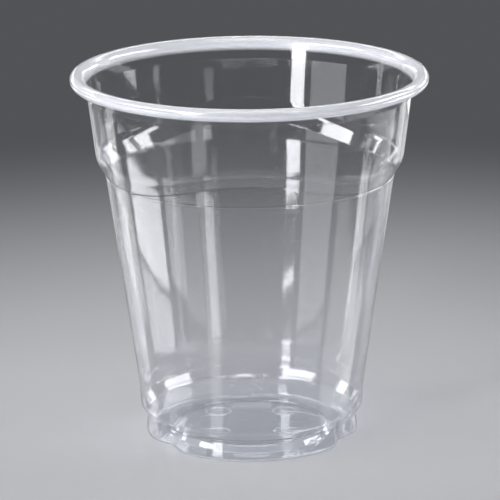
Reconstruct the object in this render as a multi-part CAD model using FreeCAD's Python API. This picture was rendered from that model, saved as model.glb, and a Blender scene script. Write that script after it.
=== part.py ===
# Clear disposable drinking cup, thermoformed in one piece from thin plastic sheet.
# Millimetres, +Z up. The origin is the centre of the foot, on the surface the cup stands on.
# The sheet runs from a rolled rim down a tapered collar and a wavy stacking shoulder,
# along the tapered body to a rounded heel, and into a notched foot round a raised panel.
import FreeCAD, Part
import math
import os
from FreeCAD import Vector

# Sheet and overall sizes
wall = 0.3
rim_diameter = 98.0
cup_height = 102.9

# Rolled rim: the sheet goes over the crest, round the roll and back up under the crest
roll_radius = 1.7
crest_radius = 2.35
lip_gap = 0.35
lip_turn = 65.0

# Neck just under the rim, then the tapered collar
neck_drop = 5.9
neck_draft = 12.2
collar_draft = 7.05

# Stacking shoulder: a fine line runs round the cup this far below the top. The foot of the
# shoulder's slope is just above the line at the sides, and arches up at the front and the back
shoulder_drop = 28.5
shoulder_step = 1.93
shoulder_rise = 4.5
shoulder_round = 4.0
shoulder_margin = 1.0
arch_count = 2
arch_height = 5.3
arch_half_span = 52.0
arch_turn = 90.0
line_band = 0.5

# Heel, the rounded belt above the foot
heel_top = 13.5
heel_bottom = 8.7
heel_draft = 3.0
heel_overhang = 1.4
heel_round = 2.2

# Foot ring and the notches that are pressed into it
foot_diameter = 59.4
waist_height = 5.6
waist_inset = 0.5
underside_lift = 0.7
foot_round = 1.3
notch_count = 3
notch_depth = 2.4
notch_half_width = 17.0
notch_roof_lift = 0.3
notch_turn = 94.5

# Raised panel inside the foot ring
channel_width = 7.5
panel_lift = 1.9
panel_wall_run = 1.5
panel_round = 0.8

# How finely the wavy rings are sampled, and how many short flats each bend is made of.
# The rim's bends are listed from the lip to the neck, and its hidden side needs fewer.
ring_point_count = 60
rim_flat_counts = (1, 6, 3)
rim_hidden_flat_counts = (1, 4, 2)
heel_flat_count = 2
small_bend_flat_count = 1

# Two places closer than this are the same
closeness = 1e-9

rim_radius = rim_diameter / 2
foot_radius = foot_diameter / 2


def slope(degrees):
    """Sideways travel for each millimetre of height at this draft."""
    return math.tan(math.radians(degrees))


def bump(turn, count, first, half_span):
    """One at the middle of each repeat, falling in a smooth wave to zero at its half span."""
    pitch = 360.0 / count
    away = (turn - first + pitch / 2) % pitch - pitch / 2
    if abs(away) >= half_span:
        return 0.0
    return math.cos(math.pi / 2 * away / half_span) ** 2


# Centres of the two upper bends of the rolled rim, as (radius, height)
crest_centre = (rim_radius - roll_radius, cup_height - crest_radius)
roll_centre = (rim_radius - roll_radius, cup_height - roll_radius)

# The neck leaves the crest bend along its own draft; this is on the cup's outside
bend_inside = crest_radius - wall
neck_cos = math.cos(math.radians(neck_draft))
neck_sin = math.sin(math.radians(neck_draft))
neck_top = (crest_centre[0] - bend_inside * neck_cos, crest_centre[1] + bend_inside * neck_sin)
neck_height = cup_height - neck_drop
neck_radius = neck_top[0] - (neck_top[1] - neck_height) * slope(neck_draft)

# Above the highest arch the collar is a plain cone
line_height = cup_height - shoulder_drop
collar_foot_height = line_height + line_band + arch_height + shoulder_rise + shoulder_margin

# The body is one straight taper from the heel to the line, and on up to the shoulder
body_top_radius = neck_radius - (neck_height - line_height) * slope(collar_draft) - shoulder_step
heel_radius = foot_radius + heel_overhang
heel_top_radius = heel_radius + (heel_top - heel_bottom) * slope(heel_draft)
body_slope = (body_top_radius - heel_top_radius) / (line_height - heel_top)
underside_height = waist_height + underside_lift
waist_radius = foot_radius - waist_inset
underside_share = underside_lift / (heel_bottom - waist_height)
underside_radius = waist_radius + (heel_radius - waist_radius) * underside_share


def collar_radius(height):
    """Outside of the collar, a straight taper down from the neck."""
    return neck_radius - (neck_height - height) * slope(collar_draft)


def body_radius(height):
    """Outside of the body, a straight taper between the heel and the shoulder."""
    return body_top_radius + (height - line_height) * body_slope


def outside_corners(turn):
    """Corners of the outside at one angle, from the rim to the base's middle.

    Each is (radius, height, bend radius, flats in the bend), and a sharp corner has no bend.
    """
    arch = bump(turn, arch_count, arch_turn, arch_half_span)
    notch = bump(turn, notch_count, notch_turn, notch_half_width)
    crease = line_height + line_band + arch_height * arch
    shoulder_top = crease + shoulder_rise
    inset = notch_depth * notch
    return [
        (neck_top[0], neck_top[1], 0, 0),
        (neck_radius, neck_height, 0, 0),
        (collar_radius(collar_foot_height), collar_foot_height, 0, 0),
        (collar_radius(shoulder_top), shoulder_top, shoulder_round, small_bend_flat_count),
        (body_radius(crease), crease, 0, 0),
        (body_top_radius, line_height, 0, 0),
        (heel_top_radius, heel_top, 0, 0),
        (heel_radius, heel_bottom, heel_round, heel_flat_count),
        (underside_radius, underside_height, 0, 0),
        (waist_radius - inset, waist_height + notch_roof_lift * notch, 0, 0),
        (foot_radius - inset, 0, foot_round, small_bend_flat_count),
        (foot_radius - channel_width, 0, 0, 0),
        (foot_radius - channel_width - panel_wall_run, panel_lift, panel_round, small_bend_flat_count),
        (0, panel_lift, 0, 0),
    ]


def unit(start, end):
    """Unit direction from one (radius, height) point to another."""
    length = math.hypot(end[0] - start[0], end[1] - start[1])
    return ((end[0] - start[0]) / length, (end[1] - start[1]) / length)


def swung(centre, spoke, turn, flats):
    """Points along a bend: the spoke from its centre swung by a turn, in equal flats."""
    points = []
    for step in range(flats + 1):
        swing = turn * step / flats
        points.append((
            centre[0] + spoke[0] * math.cos(swing) - spoke[1] * math.sin(swing),
            centre[1] + spoke[0] * math.sin(swing) + spoke[1] * math.cos(swing),
        ))
    return points


def moved_inward(corners, ways, inward):
    """Corners moved towards the cup's inside, each along the mitre of the two runs that meet there."""
    moved = []
    for place, corner in enumerate(corners):
        before = ways[max(place - 1, 0)]
        after = ways[min(place, len(ways) - 1)]
        # Going down the outside, the inside lies to the right of the way
        mitre = (before[1] + after[1], -before[0] - after[0])
        scale = inward / (1 + before[0] * after[0] + before[1] * after[1])
        moved.append((corner[0] + mitre[0] * scale, corner[1] + mitre[1] * scale))
    return moved


def wall_points(turn, inward):
    """The wall's profile at one angle round the cup, as points from the neck to the base's middle.

    A bend that turns towards the inside of the cup gains the distance inward in radius, and one
    that turns away loses it, so the bends of both skins share their centres.
    """
    corners = outside_corners(turn)
    ways = [unit(a, b) for a, b in zip(corners, corners[1:])]
    moved = moved_inward(corners, ways, inward)
    points = [moved[0]]
    for place in range(1, len(corners)):
        bend, flats = corners[place][2:]
        if not bend:
            points.append(moved[place])
            continue
        before = ways[place - 1]
        after = ways[place]
        cross = before[0] * after[1] - before[1] * after[0]
        side = math.copysign(1, cross)
        angle = math.atan2(cross, before[0] * after[0] + before[1] * after[1])
        radius = bend + inward * side
        reach = radius * math.tan(abs(angle) / 2)
        entry = (moved[place][0] - before[0] * reach, moved[place][1] - before[1] * reach)
        spoke = (before[1] * radius * side, -before[0] * radius * side)
        centre = (entry[0] - spoke[0], entry[1] - spoke[1])
        points.extend(swung(centre, spoke, angle, flats))
    return points


def rim_points(inset, flat_counts):
    """The rolled rim's profile, from the lip to the neck, this far under its visible side."""
    tuck_count, roll_count, crest_count = flat_counts
    # The last bend reaches from under the roll back towards the neck, short of it by the gap
    tuck_radius = bend_inside * neck_cos - lip_gap
    tuck_centre = (roll_centre[0], cup_height - 2 * roll_radius + tuck_radius)
    lip = math.radians(lip_turn)
    tuck_spoke = (-(tuck_radius - inset) * math.sin(lip), -(tuck_radius - inset) * math.cos(lip))
    tuck = swung(tuck_centre, tuck_spoke, lip, tuck_count)
    roll = swung(roll_centre, (0, inset - roll_radius), math.pi, roll_count)
    crest_angle = math.radians(90 - neck_draft)
    crest = swung(crest_centre, (0, crest_radius - inset), crest_angle, crest_count)
    return tuck + roll[1:] + crest[1:]


def lies_level(ring):
    """True where a ring keeps one radius and one height all the way round."""
    return all(math.hypot(point[0] - ring[0][0], point[1] - ring[0][1]) < closeness for point in ring)


def ring_edge(ring):
    """Closed edge round the axis: a true circle where the ring is level, else a smooth curve."""
    if lies_level(ring):
        return Part.makeCircle(ring[0][0], Vector(0, 0, ring[0][1]))
    return smooth_edge(ring)


def smooth_edge(ring):
    """Smooth closed curve round the axis through a ring's points, timed by their angle."""
    points = []
    for place, (radius, height) in enumerate(ring):
        angle = 2 * math.pi * place / ring_point_count
        points.append(Vector(radius * math.cos(angle), radius * math.sin(angle), height))
    angles = [2 * math.pi * place / ring_point_count for place in range(ring_point_count + 1)]
    curve = Part.BSplineCurve()
    curve.interpolate(Points=points, PeriodicFlag=True, Parameters=angles)
    return curve.toShape()


def strip(upper, lower):
    """Face between two rings: flat, a true cone, or ruled where either ring is wavy."""
    heights = [point[1] for point in upper + lower]
    if max(heights) - min(heights) < closeness:
        if lower[0][0] < closeness:
            return Part.Face(Part.Wire(ring_edge(upper)))
        wires = [Part.Wire(ring_edge(upper)), Part.Wire(ring_edge(lower))]
        return Part.Face(wires, "Part::FaceMakerBullseye")
    if lies_level(upper) and lies_level(lower):
        start = Vector(upper[0][0], 0, upper[0][1])
        run = Part.makeLine(start, Vector(lower[0][0], 0, lower[0][1]))
        return run.revolve(Vector(0, 0, 0), Vector(0, 0, 1), 360).Faces[0]
    return Part.makeRuledSurface(ring_edge(upper), ring_edge(lower))


def skin_rings(inward, flat_counts):
    """Rings of one skin of the sheet, from the lip over the rim and down to the base's middle."""
    turns = [360.0 * place / ring_point_count for place in range(ring_point_count)]
    wall_rings = list(zip(*[wall_points(turn, inward) for turn in turns]))
    rim_rings = [(point,) * ring_point_count for point in rim_points(wall - inward, flat_counts)]
    # The rim's last ring is the neck's first
    return rim_rings[:-1] + wall_rings


def cup():
    """The whole cup: two skins from the lip to the base, joined by the sheet's edge at the lip."""
    # Over the rim the cup's outside turns into the hidden side of the roll
    outside = skin_rings(0, rim_hidden_flat_counts)
    inside = skin_rings(wall, rim_flat_counts)
    faces = [strip(outside[0], inside[0])]
    for rings in (outside, inside):
        faces.extend(strip(upper, lower) for upper, lower in zip(rings, rings[1:]))
    skin = Part.makeCompound(faces)
    skin.sewShape()
    solid = Part.makeSolid(skin.Shells[0])
    if solid.Volume < 0:
        solid.reverse()
    return solid


os.makedirs("parts", exist_ok=True)
cup().exportStep("parts/cup.step")
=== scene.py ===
import bpy
import math
import numpy as np
from mathutils import Matrix, Vector


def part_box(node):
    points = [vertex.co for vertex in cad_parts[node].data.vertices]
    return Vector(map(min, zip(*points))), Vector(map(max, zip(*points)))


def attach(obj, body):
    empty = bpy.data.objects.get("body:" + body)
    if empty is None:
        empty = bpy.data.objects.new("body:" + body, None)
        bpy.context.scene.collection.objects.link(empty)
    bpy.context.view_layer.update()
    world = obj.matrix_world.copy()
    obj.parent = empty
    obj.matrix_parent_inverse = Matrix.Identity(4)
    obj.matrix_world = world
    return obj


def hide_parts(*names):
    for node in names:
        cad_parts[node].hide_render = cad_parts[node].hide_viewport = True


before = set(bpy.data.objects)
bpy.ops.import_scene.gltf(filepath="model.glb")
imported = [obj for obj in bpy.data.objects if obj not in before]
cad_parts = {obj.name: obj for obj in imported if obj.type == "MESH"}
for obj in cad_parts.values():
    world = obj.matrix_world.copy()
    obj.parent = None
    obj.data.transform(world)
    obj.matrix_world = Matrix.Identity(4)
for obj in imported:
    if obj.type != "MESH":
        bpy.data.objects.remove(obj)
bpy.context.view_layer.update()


# The cup: one sheet of clear PET, 0.3 mm thick, thermoformed into a straight-sided taper
# with a rolled rim, an arched stacking shoulder, a rounded heel and a notched foot.
# All lengths are in metres, and the profile is written as (radius, height) from the axis.
MM = 0.001
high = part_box("cup")[1]
rim_radius = high.x
cup_height = high.z
wall = 0.3 * MM

roll_radius = 1.7 * MM
crest_radius = 2.35 * MM
lip_gap = 0.35 * MM
lip_turn = math.radians(65)

neck_drop = 5.9 * MM
neck_draft = math.radians(12.2)
collar_draft = math.radians(7.05)
shoulder_drop = 28.5 * MM
shoulder_step = 1.93 * MM
shoulder_rise = 4.5 * MM
arch_count = 2
arch_height = 5.3 * MM
arch_half_span = math.radians(52)
arch_turn = math.radians(90)
line_band = 0.5 * MM
band_draft = math.radians(4)
line_depth = 0.045 * MM
line_spread = 0.16 * MM

heel_top = 15.0 * MM
heel_bottom = 8.7 * MM
heel_draft = math.radians(3)
heel_overhang = 1.4 * MM
foot_radius = 29.7 * MM
waist_height = 5.6 * MM
waist_inset = 0.5 * MM
underside_lift = 0.7 * MM
notch_count = 3
notch_depth = 2.4 * MM
notch_half_width = math.radians(17)
notch_roof_lift = 0.3 * MM
notch_turn = math.radians(94.5)
channel_width = 7.5 * MM
panel_lift = 1.9 * MM
panel_wall_run = 1.5 * MM

# Bend radii on the outside of the sheet, and how many short runs round each bend
neck_round = 1.2 * MM
shoulder_round = 7.0 * MM
crease_round = 0.5 * MM
heel_top_round = 60 * MM
heel_round = 2.2 * MM
ledge_round = 0.4 * MM
foot_round = 1.3 * MM
panel_round = 0.8 * MM
bend_runs = 5
round_bend_runs = 8
roll_runs = 16
tuck_runs = 6
crest_runs = 10

turns_round = 344
longest_run = 9 * MM
edge_run = 0.12 * MM


def bump(turn, count, first, half_span):
    """Squared cosine about each repeat's middle, from one there down to zero at its half span."""
    pitch = 2 * np.pi / count
    away = np.abs((turn - first + pitch / 2) % pitch - pitch / 2)
    return np.where(away < half_span, np.cos(np.pi / 2 * away / half_span) ** 2, 0.0)


crest_centre = (rim_radius - roll_radius, cup_height - crest_radius)
roll_centre = (rim_radius - roll_radius, cup_height - roll_radius)
bend_inside = crest_radius - wall
neck_top = (
    crest_centre[0] - bend_inside * math.cos(neck_draft),
    crest_centre[1] + bend_inside * math.sin(neck_draft),
)
neck_height = cup_height - neck_drop
neck_radius = neck_top[0] - (neck_top[1] - neck_height) * math.tan(neck_draft)
line_height = cup_height - shoulder_drop
line_radius = neck_radius - (neck_height - line_height) * math.tan(collar_draft) - shoulder_step
heel_radius = foot_radius + heel_overhang
heel_top_radius = heel_radius + (heel_top - heel_bottom) * math.tan(heel_draft)
body_slope = (line_radius - heel_top_radius) / (line_height - heel_top)
waist_radius = foot_radius - waist_inset
underside_share = underside_lift / (heel_bottom - waist_height)
underside_radius = waist_radius + (heel_radius - waist_radius) * underside_share


def outside_corners(turn):
    """Corners of the outside at every turn, neck to base middle, each (radius, height, bend, runs).

    The shoulder's crease lies one band above the line and rises with the arch's bump, and the
    foot's wall moves inwards with the notch's bump.
    """
    arch = bump(turn, arch_count, arch_turn, arch_half_span)
    notch = bump(turn, notch_count, notch_turn, notch_half_width)
    crease = line_height + line_band + arch_height * arch
    shoulder_top = crease + shoulder_rise
    collar = neck_radius - (neck_height - shoulder_top) * math.tan(collar_draft)
    at_crease = line_radius + (crease - line_height) * math.tan(band_draft)
    inset = notch_depth * notch
    channel = foot_radius - channel_width
    beside_line = []
    for step in (2, 1, 0, -1, -2):
        slope = math.tan(band_draft) if step > 0 else body_slope
        away = step * line_spread
        beside_line.append((line_radius + away * slope, line_height + away, 0, 0))
    return [
        (neck_top[0], neck_top[1], 0, 0),
        (neck_radius, neck_height, neck_round, bend_runs),
        (collar, shoulder_top, shoulder_round, round_bend_runs),
        (at_crease, crease, crease_round, bend_runs),
        *beside_line,
        (heel_top_radius, heel_top, heel_top_round, round_bend_runs),
        (heel_radius, heel_bottom, heel_round, round_bend_runs),
        (underside_radius, waist_height + underside_lift, ledge_round, bend_runs),
        (waist_radius - inset, waist_height + notch_roof_lift * notch, ledge_round, bend_runs),
        (foot_radius - inset, 0, foot_round, round_bend_runs),
        (channel, 0, panel_round, bend_runs),
        (channel - panel_wall_run, panel_lift, panel_round, bend_runs),
        (0, panel_lift, 0, 0),
    ]


def swung(centre, spoke, turn, runs):
    """Points round a bend: the spoke from its centre, turned by equal parts of the whole turn."""
    swing = turn * np.linspace(0, 1, runs + 1)[:, None]
    radius = centre[0] + spoke[0] * np.cos(swing) - spoke[1] * np.sin(swing)
    height = centre[1] + spoke[0] * np.sin(swing) + spoke[1] * np.cos(swing)
    return np.stack([radius, height], axis=-1)


def wall_rows(turn, inward):
    """Profile rows of one skin, neck to base middle, as rows of (radius, height) for every turn.

    The corners move inward along the mitre of their two runs, and each bend keeps its centre, so
    the two skins lie one wall apart all the way.
    """
    corners = outside_corners(turn)
    place = np.array([[r + 0 * turn, h + 0 * turn] for r, h, _, _ in corners]).transpose(0, 2, 1)
    way = np.diff(place, axis=0)
    way /= np.linalg.norm(way, axis=-1, keepdims=True)
    before = np.concatenate([way[:1], way])
    after = np.concatenate([way, way[-1:]])
    mitre = np.stack([before[..., 1] + after[..., 1], -before[..., 0] - after[..., 0]], axis=-1)
    moved = place + mitre * inward / (1 + np.sum(before * after, axis=-1, keepdims=True))
    rows = [moved[:1]]
    for corner, (_, _, bend, runs) in enumerate(corners[1:], 1):
        if not bend:
            rows.append(moved[corner:corner + 1])
            continue
        into, out = way[corner - 1], way[corner]
        cross = into[:, 0] * out[:, 1] - into[:, 1] * out[:, 0]
        side = np.sign(cross)
        angle = np.arctan2(cross, np.sum(into * out, axis=-1))
        radius = bend + inward * side
        entry = moved[corner] - into * (radius * np.tan(np.abs(angle) / 2))[:, None]
        spoke = np.stack([into[:, 1], -into[:, 0]]) * radius * side
        rows.append(swung(entry.T - spoke, spoke, angle, runs))
    return np.concatenate(rows)


def rim_rows(turn, inset):
    """Profile rows of the rolled rim, lip to neck, this far under its visible side."""
    tuck = bend_inside * math.cos(neck_draft) - lip_gap
    tuck_centre = (roll_centre[0], cup_height - 2 * roll_radius + tuck)
    tuck_spoke = (-(tuck - inset) * math.sin(lip_turn), -(tuck - inset) * math.cos(lip_turn))
    rows = [
        swung(tuck_centre, tuck_spoke, lip_turn, tuck_runs),
        swung(roll_centre, (0, inset - roll_radius), math.pi, roll_runs)[1:],
        swung(crest_centre, (0, crest_radius - inset), math.pi / 2 - neck_draft, crest_runs)[1:-1],
    ]
    return np.concatenate(rows) + np.zeros((1, len(turn), 2))


def filled(rows):
    """Rows with more between the two ends of each long run: one close to each end, the rest even.

    The close ones keep a bend's shading from running on into the straight run beside it.
    """
    kept = [rows[:1]]
    for start, end in zip(rows, rows[1:]):
        length = np.linalg.norm(end - start, axis=-1).max()
        if length > 6 * edge_run:
            share = edge_run / length
            even = np.linspace(0, 1, int(length / longest_run) + 2)[1:-1]
            shares = np.concatenate([[share], even, [1 - share]])
            kept.append(start + (end - start) * shares[:, None, None])
        kept.append(end[None])
    return np.concatenate(kept)


def skin_rows(turn, inward):
    """All the rows of one skin, from the lip over the rim and down to the base's middle."""
    return filled(np.concatenate([rim_rows(turn, wall - inward), wall_rows(turn, inward)]))


# Ripples left by the forming: waves round the cup, their depth, and their turn per metre of height
ripples = (
    (5, 0.012 * MM, 170),
    (7, 0.014 * MM, 110),
    (13, 0.010 * MM, -130),
    (23, 0.007 * MM, 60),
    (37, 0.004 * MM, -45),
)
still_end = 6 * MM
fade_below_rim = 12 * MM
fade_over_foot = 10 * MM


def drawn(rows, turn):
    """Rows as the forming left them: a fine raised line, and slow ripples.

    The line is a bell curve in height. Each ripple is a sine of its waves times the turn, plus its
    twist times the height, and all fade out at the rim and the foot.
    """
    height = rows[..., 1]
    fade = np.clip((cup_height - still_end - height) / fade_below_rim, 0, 1)
    fade = fade * np.clip((height - still_end) / fade_over_foot, 0, 1)
    waves = 0
    for cycles, depth, twist in ripples:
        waves = waves + depth * np.sin(cycles * turn + twist * height + cycles)
    line = line_depth * np.exp(-((height - line_height) / line_spread) ** 2)
    moved = rows.copy()
    moved[..., 0] += waves * fade + line
    return moved


def closed_sheet(name, outside, inside, turn):
    """Closed mesh of a sheet of revolution: both skins' rows joined at the lip, a point at each middle.

    A row's point at each turn is (radius cos turn, radius sin turn, height).
    """
    rows = np.concatenate([outside[-2::-1], inside[:-1]])
    around = len(turn)
    points = np.stack([
        rows[..., 0] * np.cos(turn),
        rows[..., 0] * np.sin(turn),
        rows[..., 1],
    ], axis=-1).reshape(-1, 3)
    middles = [(0, 0, outside[-1, 0, 1]), (0, 0, inside[-1, 0, 1])]
    count = len(rows)
    row, column = np.meshgrid(np.arange(count - 1), np.arange(around), indexing="ij")
    beside = (column + 1) % around
    quads = np.stack([
        row * around + column,
        row * around + beside,
        (row + 1) * around + beside,
        (row + 1) * around + column,
    ], axis=-1).reshape(-1, 4)
    column = np.arange(around)
    beside = (column + 1) % around
    last = (count - 1) * around
    first_fan = np.stack([np.full(around, count * around), beside, column], axis=-1)
    last_fan = np.stack([np.full(around, count * around + 1), last + column, last + beside], axis=-1)
    mesh = bpy.data.meshes.new(name)
    faces = quads.tolist() + first_fan.tolist() + last_fan.tolist()
    mesh.from_pydata(np.concatenate([points, middles]).tolist(), [], faces)
    mesh.polygons.foreach_set("use_smooth", np.ones(len(mesh.polygons), bool))
    mesh.update()
    piece = bpy.data.objects.new(name, mesh)
    bpy.context.scene.collection.objects.link(piece)
    return piece


class Socket:
    """A shader socket that adds a Math node for each sum, difference, product or power of it."""

    def __init__(self, tree, socket):
        self.tree = tree
        self.socket = socket

    def math(self, operation, *values):
        node = self.tree.nodes.new("ShaderNodeMath")
        node.operation = operation
        for place, value in enumerate(values):
            if isinstance(value, Socket):
                self.tree.links.new(value.socket, node.inputs[place])
            else:
                node.inputs[place].default_value = value
        return Socket(self.tree, node.outputs[0])

    def size(self):
        return self.math("ABSOLUTE", self)

    def __add__(self, other):
        return self.math("ADD", self, other)

    def __sub__(self, other):
        return self.math("SUBTRACT", self, other)

    def __rsub__(self, other):
        return self.math("SUBTRACT", other, self)

    def __mul__(self, other):
        return self.math("MULTIPLY", self, other)

    def __pow__(self, other):
        return self.math("POWER", self, other)

    __radd__ = __add__
    __rmul__ = __mul__


class Finish:
    """A material or world in the making, with one method for every kind of node."""

    def __init__(self, owner):
        owner.use_nodes = True
        self.owner = owner
        self.tree = owner.node_tree
        self.tree.nodes.clear()

    def node(self, kind, settings=None, out=0, **inputs):
        """Adds a node, its settings first and then its sockets, and returns one of its outputs.

        A socket is given by its name, with _ for each space, or by _ and its number.
        """
        node = self.tree.nodes.new("ShaderNode" + kind)
        for name, value in (settings or {}).items():
            setattr(node, name, value)
        for name, value in inputs.items():
            target = node.inputs[int(name[1:]) if name[0] == "_" else name.replace("_", " ")]
            if isinstance(value, Socket):
                self.tree.links.new(value.socket, target)
            else:
                target.default_value = value
        return Socket(self.tree, node.outputs[out]) if node.outputs else None


bead_foot = cup_height - 2 * roll_radius
haze_edge = 0.3 * MM
bead_haze = 0.25
mark_haze = 0.25
relief_depth = 0.05 * MM
mark_across = 9.5 * MM
mark_along = 9 * MM
mark_radius = 3.4 * MM
mark_width = 0.35 * MM


def clear_plastic():
    """Clear PET: light goes through both skins, with faint flow streaks and a few specks in gloss.

    The rolled bead is crazed a little white where the sheet is bent tight, and so are four plain
    rings in the base. Lamps shine through the sheet, less what it keeps back, so that its shadow
    on the floor is light.
    """
    finish = Finish(bpy.data.materials.new("clear_plastic"))
    place = finish.node("TexCoord", out=3)
    stretched = finish.node("Mapping", Vector=place, Scale=(1.0, 1.0, 0.12))
    streaks = finish.node("TexNoise", Vector=stretched, Scale=420.0, Detail=3.0, Roughness=0.55)
    orange_peel = finish.node("TexNoise", Vector=place, Scale=130.0, Detail=2.0, Roughness=0.5)
    specks = finish.node("TexNoise", Vector=place, Scale=1900.0, Detail=1.0, Roughness=0.5)
    dust = finish.node("Clamp", Value=(specks - 0.66) * 9.0, Min=0.0, Max=1.0)
    across = finish.node("SeparateXYZ", Vector=place).size()
    along = finish.node("SeparateXYZ", out=1, Vector=place).size()
    height = finish.node("SeparateXYZ", out=2, Vector=place)
    spread = ((across - mark_across) ** 2 + (along - mark_along) ** 2) ** 0.5
    on_ring = finish.node("MapRange", Value=(spread - mark_radius).size(), _1=mark_width, _2=0.0)
    on_base = finish.node("MapRange", Value=height, _1=panel_lift + 2 * wall, _2=panel_lift + wall)
    marks = on_ring * on_base
    relief = streaks * 0.35 + orange_peel * 0.9 + dust * 0.25 + marks * 20
    normal = finish.node("Bump", Strength=0.16, Distance=relief_depth, Height=relief)
    bead = finish.node("MapRange", Value=height, _1=bead_foot - haze_edge, _2=bead_foot + haze_edge)
    roughness = 0.018 + streaks * 0.03 + dust * 0.12 + bead * 0.10
    plastic = finish.node(
        "BsdfPrincipled",
        Base_Color=(0.965, 0.972, 0.99, 1.0),
        Roughness=roughness,
        IOR=1.57,
        Transmission_Weight=1.0,
        Normal=normal,
    )
    crazed = finish.node("BsdfPrincipled", Base_Color=(0.86, 0.87, 0.9, 1.0), Roughness=0.35)
    haze = bead * bead_haze + marks * mark_haze
    sheet = finish.node("MixShader", _0=haze, _1=plastic, _2=crazed)
    let_through = finish.node("BsdfTransparent", Color=(0.74, 0.746, 0.76, 1.0))
    lamp_ray = finish.node("LightPath", out=1)
    surface = finish.node("MixShader", _0=lamp_ray, _1=sheet, _2=let_through)
    finish.node("OutputMaterial", Surface=surface)
    return finish.owner


turn = np.arange(turns_round) * 2 * np.pi / turns_round
outside = drawn(skin_rows(turn, 0), turn)
inside = drawn(skin_rows(turn, wall), turn)
cup = closed_sheet("clear_cup", outside, inside, turn)
cup.data.materials.append(clear_plastic())
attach(cup, "root")
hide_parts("cup")
print("cup triangles", sum(len(p.vertices) - 2 for p in cup.data.polygons))


# The table is a wide round floor, pale and lit by the lamps where the cup stands, easing further off
# into a grey glow that no lamp lights: a painted fall-off of light, so that clear plastic shows against
# it.
floor_radius = 6.0
floor_gap = 0.04 * MM
pale_out_to = 0.06
grey_from = 0.37
polish_out_to = 0.4
polish_ends = 0.6
floor_pale = (0.42, 0.425, 0.44, 1.0)
floor_far = (0.085, 0.087, 0.093, 1.0)


def floor_disc(name, radius, rings, around):
    """Flat disc of rings of points, closer together near the middle by the square of their share."""
    spokes = np.arange(around) * 2 * np.pi / around
    out = radius * (np.arange(1, rings + 1) / rings) ** 2
    points = np.stack([
        np.outer(out, np.cos(spokes)),
        np.outer(out, np.sin(spokes)),
        np.full((rings, around), -floor_gap),
    ], axis=-1).reshape(-1, 3)
    ring, column = np.meshgrid(np.arange(rings - 1), np.arange(around), indexing="ij")
    beside = (column + 1) % around
    quads = np.stack([
        ring * around + column,
        (ring + 1) * around + column,
        (ring + 1) * around + beside,
        ring * around + beside,
    ], axis=-1).reshape(-1, 4)
    column = np.arange(around)
    fan = np.stack([np.full(around, rings * around), column, (column + 1) % around], axis=-1)
    points = np.concatenate([points, [(0, 0, -floor_gap)]])
    mesh = bpy.data.meshes.new(name)
    mesh.from_pydata(points.tolist(), [], quads.tolist() + fan.tolist())
    piece = bpy.data.objects.new(name, mesh)
    bpy.context.scene.collection.objects.link(piece)
    return piece


def pale_floor_painted_falloff():
    """Floor that eases from lit pale to the world's grey with distance from the middle: the grey is a
    glow that no lamp lights, a painted fall-off of light.

    Only the cup sees a polish on it, so that lamps low beside the cup run on down its sides.
    """
    finish = Finish(bpy.data.materials.new("pale_floor_painted_falloff"))
    place = finish.node("TexCoord", out=3)
    away = finish.node("VectorMath", {"operation": "LENGTH"}, out=1, _0=place)
    # Painted fall-off of light: the lamp-lit share of the floor falls away with distance, and an even
    # grey glow takes its place.
    painted_falloff = finish.node(
        "MapRange",
        {"interpolation_type": "SMOOTHSTEP"},
        Value=away,
        _1=pale_out_to,
        _2=grey_from,
    )
    pale = finish.node("BsdfDiffuse", Color=floor_pale)
    grey = finish.node("Emission", Color=floor_far, Strength=1.0)
    lit_or_painted_grey_floor = finish.node("MixShader", _0=painted_falloff, _1=pale, _2=grey)
    near_cup = finish.node("MapRange", Value=away, _1=polish_ends, _2=polish_out_to)
    from_camera = finish.node("LightPath", out=0)
    shine = finish.node("Fresnel", IOR=1.45) * near_cup * (1 - from_camera)
    polish = finish.node("BsdfGlossy", Color=(1.0, 1.0, 1.0, 1.0), Roughness=0.08)
    surface = finish.node("MixShader", _0=shine, _1=lit_or_painted_grey_floor, _2=polish)
    finish.node("OutputMaterial", Surface=surface)
    return finish.owner


floor = floor_disc("floor", floor_radius, 24, 96)
floor.data.materials.append(pale_floor_painted_falloff())


# The light is a plain soft studio: panels stand round the cup and one hangs overhead, so that
# the thin clear walls show as long soft highlights. Angles are as seen from the cup's middle.
room = Finish(bpy.data.worlds.new("room"))
room.node("OutputWorld", Surface=room.node("Background", Color=floor_far, Strength=1.0))
bpy.context.scene.world = room.owner

aim_height = cup_height / 2
far = 1.1
near = 0.35


def panel(name, azimuth, half_width, lowest, highest, radiance, distance=far):
    """Softbox that faces the cup and spans these angles: azimuth 0 is the camera's side, + its right.

    Its power is pi times its radiance times its area, as for any surface that shines evenly.
    """
    across = math.radians(azimuth)
    up = math.radians((lowest + highest) / 2)
    width = 2 * distance * math.tan(math.radians(half_width))
    height = 2 * distance * math.tan(math.radians((highest - lowest) / 2))
    lamp = bpy.data.lights.new(name, "AREA")
    lamp.shape = "RECTANGLE"
    lamp.size = width
    lamp.size_y = height
    lamp.energy = math.pi * radiance * width * height
    box = bpy.data.objects.new(name, lamp)
    bpy.context.scene.collection.objects.link(box)
    way = Vector((math.sin(across) * math.cos(up), -math.cos(across) * math.cos(up), math.sin(up)))
    box.location = way * distance + Vector((0, 0, aim_height))
    box.rotation_euler = way.to_track_quat("Z", "Y").to_euler()
    box.visible_camera = False
    return box


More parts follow.
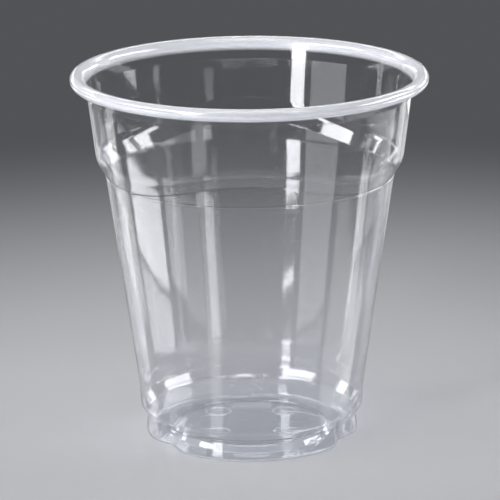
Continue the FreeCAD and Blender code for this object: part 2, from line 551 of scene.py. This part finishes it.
panel("front_strip", -37, 5.2, 0.8, 30, 13)
panel("low_strip", -36.5, 5, -2.2, -1.75, 14)
panel("left_grey", -64, 15, -8.1, 9, 1.6, near)
panel("left_slim", -117, 6, -8.1, -1.8, 2.4, near)
panel("left_rear", -138, 12, -8.1, -2.6, 1.2, near)
panel("left_high", -64, 24, 33, 44, 10)
panel("left_back_high", -121, 6, 12, 20, 8)
panel("left_back_low", -148, 7, 2, 7, 3)
panel("right_slim", 37.5, 4, -8, 2, 2.8, near)
panel("right_dim", 57, 9, -7.5, 0.8, 0.9, near)
panel("right_low", 74.5, 8.5, -6.8, 0, 2.2, near)
panel("right_bright", 106, 17.5, -8.1, -1.3, 5.8, near)
panel("right_streak", 102, 6, 3.8, 9.4, 3, near)
panel("right_rear", 147, 11, -8.1, -3, 1.1, near)
panel("right_high", 99, 21, 20, 34, 8)
panel("right_back_high", 142, 7, 3, 13, 5)
panel("overhead", 0, 12, 78, 102, 2.5)
panel("front_top", 0, 28, 63, 69, 4)
panel("back_top", 180, 35, 30, 36, 4)
panel("left_back", -160, 9, 6, 12, 2)
panel("right_back", 160, 9, 6, 12, 2)


# The camera stands where the photograph was taken from, a long lens a little above the rim.
camera_distance = 0.8428
camera_elevation = math.radians(15.588)
aim = Vector((0, 0, 0.05208))
camera_roll = math.radians(0.42)
sensor_width = 36.0
picture_width = 500.0
focal_pixels = 3038.5
axis_pixel = 250.6

lens = bpy.data.cameras.new("camera")
lens.sensor_width = sensor_width
lens.lens = focal_pixels / picture_width * sensor_width
lens.shift_x = -(axis_pixel - picture_width / 2) / picture_width
lens.clip_start = 0.01
camera = bpy.data.objects.new("camera", lens)
bpy.context.scene.collection.objects.link(camera)
back = Vector((0, -math.cos(camera_elevation), math.sin(camera_elevation)))
place = Matrix.Translation(aim + back * camera_distance)
facing = back.to_track_quat("Z", "Y").to_matrix().to_4x4()
camera.matrix_world = place @ facing @ Matrix.Rotation(-camera_roll, 4, "Z")
bpy.context.scene.camera = camera
bpy.context.scene.view_settings.view_transform = "Standard"

# A ray through the cup crosses two skins at each wall, and more in the roll and the foot.
skin_crossings = 28
mirrorings = 8
bpy.context.scene.cycles.max_bounces = skin_crossings
bpy.context.scene.cycles.transmission_bounces = skin_crossings
bpy.context.scene.cycles.glossy_bounces = mirrorings
